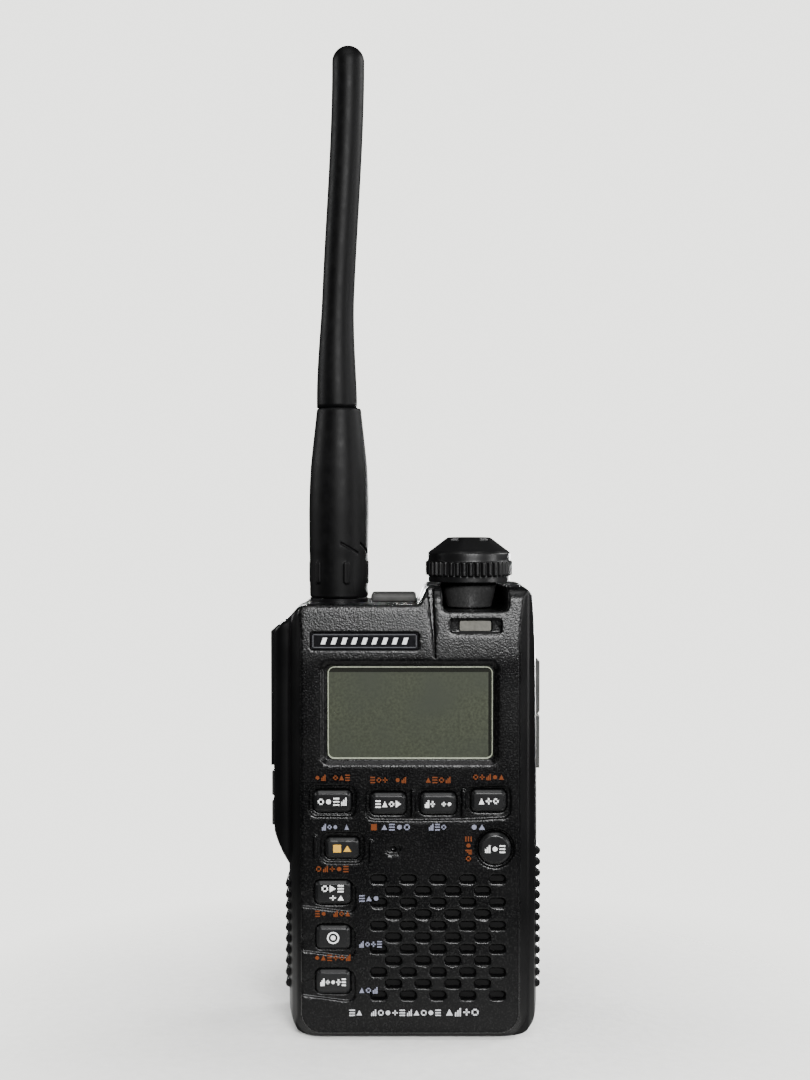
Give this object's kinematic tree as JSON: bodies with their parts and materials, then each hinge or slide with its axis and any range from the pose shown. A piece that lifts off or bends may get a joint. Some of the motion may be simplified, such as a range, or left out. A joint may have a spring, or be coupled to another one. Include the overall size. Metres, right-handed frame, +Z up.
{
  "type": "handheld radio",
  "caption": "Compact handheld two-way radio with a slim flexible antenna, display, front keys, speaker grille, dial knob, talk button and rear battery cover.",
  "frame": {"origin": "centre of the body's flat base", "axes": "+X to the right seen from the front, -Y out of the front face, +Z up along the antenna"},
  "size_m": [0.0476, 0.0235, 0.1739],
  "materials": {
    "case_plastic": "fine-grained black moulded plastic",
    "chassis_plastic": "black moulded plastic, fine grain",
    "seal_rubber": "black silicone seal",
    "screw_steel": "bright steel",
    "plate_metal": "satin dark plate, no lettering",
    "window": "clear window over a grey-green display",
    "display": "grey-green liquid crystal panel",
    "light_guide": "translucent light guide",
    "key_plastic": "dark charcoal, half gloss",
    "mat_rubber": "silicone keypad mat",
    "domes": "gold-plated snap domes",
    "board": "green solder resist",
    "shield": "tinned shield",
    "connector": "cream plastic",
    "speaker_body": "dark frame and cone",
    "net": "fine black net",
    "mic_metal": "aluminium can",
    "lens": "smoked light window",
    "led": "clear resin",
    "encoder": "moulded housing",
    "shaft_metal": "turned shaft",
    "knob_plastic": "matt black, knurled ring",
    "brass": "gold-plated brass",
    "antenna_rubber": "matt black rubber",
    "jack_plastic": "black jack housing",
    "cap_rubber": "dark rubber cover",
    "side_plastic": "satin black",
    "switch_metal": "small switch cans",
    "battery": "battery pack shell"
  },
  "bodies": {
    "body": {"front_case": "case_plastic", "rear_chassis": "chassis_plastic", "case_gasket": "seal_rubber", "case_screws": "screw_steel", "name_plate": "plate_metal", "lcd_window": "window", "lcd_module": "display", "lcd_light_guide": "light_guide", "keypad_mat": "mat_rubber", "dome_sheet": "domes", "control_board": "board", "main_board": "board", "rf_shield": "shield", "board_connector": "connector", "speaker": "speaker_body", "speaker_net": "net", "microphone": "mic_metal", "mic_holder": "seal_rubber", "indicator_lens": "lens", "indicator_led": "led", "encoder_body": "encoder", "sma_connector": "brass", "antenna_collar": "side_plastic", "audio_jack": "jack_plastic", "dc_jack": "jack_plastic", "dc_cap_anchor": "cap_rubber", "side_switches": "switch_metal", "side_board": "board", "battery_pack": "battery", "battery_contacts": "brass"},
    "antenna_lifter": {"antenna_seal": "seal_rubber"},
    "antenna": {"antenna_plug": "brass", "antenna_boot": "antenna_rubber", "antenna_whip": "antenna_rubber"},
    "dial": {"encoder_shaft": "shaft_metal", "dial_knob": "knob_plastic"},
    "ptt": {"ptt_button": "side_plastic"},
    "monitor": {"monitor_button": "side_plastic"},
    "power": {"power_button": "side_plastic"},
    "audio_cover": {"audio_cap": "cap_rubber"},
    "dc_cover": {"dc_cap": "cap_rubber"},
    "battery_lid": {"battery_cover": "chassis_plastic"},
    "latch": {"battery_latch": "side_plastic"},
    "key_mode_body": {"key_mode": "key_plastic"},
    "key_band_body": {"key_band": "key_plastic"},
    "key_level_body": {"key_level": "key_plastic"},
    "key_memory_body": {"key_memory": "key_plastic"},
    "key_function_body": {"key_function": "key_plastic"},
    "key_volume_body": {"key_volume": "key_plastic"},
    "key_home_body": {"key_home": "key_plastic"},
    "key_link_body": {"key_link": "key_plastic"},
    "key_tuner_body": {"key_tuner": "key_plastic"}
  },
  "joints": [
    {"name": "key_mode_press", "type": "slide", "parent": "body", "child": "key_mode_body", "axis": [0, 1, 0], "range_m": [0, 0.0004], "stiffness_N_per_m": 1000},
    {"name": "key_band_press", "type": "slide", "parent": "body", "child": "key_band_body", "axis": [0, 1, 0], "range_m": [0, 0.0004], "stiffness_N_per_m": 1000},
    {"name": "key_level_press", "type": "slide", "parent": "body", "child": "key_level_body", "axis": [0, 1, 0], "range_m": [0, 0.0004], "stiffness_N_per_m": 1000},
    {"name": "key_memory_press", "type": "slide", "parent": "body", "child": "key_memory_body", "axis": [0, 1, 0], "range_m": [0, 0.0004], "stiffness_N_per_m": 1000},
    {"name": "key_function_press", "type": "slide", "parent": "body", "child": "key_function_body", "axis": [0, 1, 0], "range_m": [0, 0.0004], "stiffness_N_per_m": 1000},
    {"name": "key_volume_press", "type": "slide", "parent": "body", "child": "key_volume_body", "axis": [0, 1, 0], "range_m": [0, 0.0004], "stiffness_N_per_m": 1000},
    {"name": "key_home_press", "type": "slide", "parent": "body", "child": "key_home_body", "axis": [0, 1, 0], "range_m": [0, 0.0004], "stiffness_N_per_m": 1000},
    {"name": "key_link_press", "type": "slide", "parent": "body", "child": "key_link_body", "axis": [0, 1, 0], "range_m": [0, 0.0004], "stiffness_N_per_m": 1000},
    {"name": "key_tuner_press", "type": "slide", "parent": "body", "child": "key_tuner_body", "axis": [0, 1, 0], "range_m": [0, 0.0004], "stiffness_N_per_m": 1000},
    {"name": "ptt_press", "type": "slide", "parent": "body", "child": "ptt", "axis": [1, 0, 0], "range_m": [0, 0.0006], "stiffness_N_per_m": 2000},
    {"name": "monitor_press", "type": "slide", "parent": "body", "child": "monitor", "axis": [1, 0, 0], "range_m": [0, 0.0004], "stiffness_N_per_m": 1500},
    {"name": "power_press", "type": "slide", "parent": "body", "child": "power", "axis": [1, 0, 0], "range_m": [0, 0.0004], "stiffness_N_per_m": 1500},
    {"name": "dial_turn", "type": "hinge", "parent": "body", "child": "dial", "pos_m": [0.01005, 0, 0.0812], "axis": [0, 0, 1], "continuous": true},
    {"name": "antenna_rise", "type": "slide", "parent": "body", "child": "antenna_lifter", "axis": [0, 0, 1], "range_m": [0, 0.00494]},
    {"name": "antenna_turn", "type": "hinge", "parent": "antenna_lifter", "child": "antenna", "pos_m": [-0.01317, 0, 0.076], "axis": [0, 0, 1], "range_deg": [0, 2520]},
    {"name": "audio_cover_open", "type": "hinge", "parent": "body", "child": "audio_cover", "pos_m": [-0.0034, 0.0033, 0.07605], "axis": [-1, 0, 0], "range_deg": [0, 100], "stiffness_Nm_per_rad": 0.002},
    {"name": "dc_cover_open", "type": "hinge", "parent": "body", "child": "dc_cover", "pos_m": [0.02165, 0, 0.05625], "axis": [0, 1, 0], "range_deg": [0, 98], "stiffness_Nm_per_rad": 0.002},
    {"name": "battery_lid_open", "type": "hinge", "parent": "body", "child": "battery_lid", "pos_m": [0, 0.01075, 0.0535], "axis": [1, 0, 0], "range_deg": [0, 85]},
    {"name": "latch_slide", "type": "slide", "parent": "battery_lid", "child": "latch", "axis": [0, 0, 1], "range_m": [0, 0.0015], "stiffness_N_per_m": 400}
  ],
  "couplings": [
    {"joint": "antenna_turn", "follows": "antenna_rise", "rad_per_m": 8904.7}
  ]
}
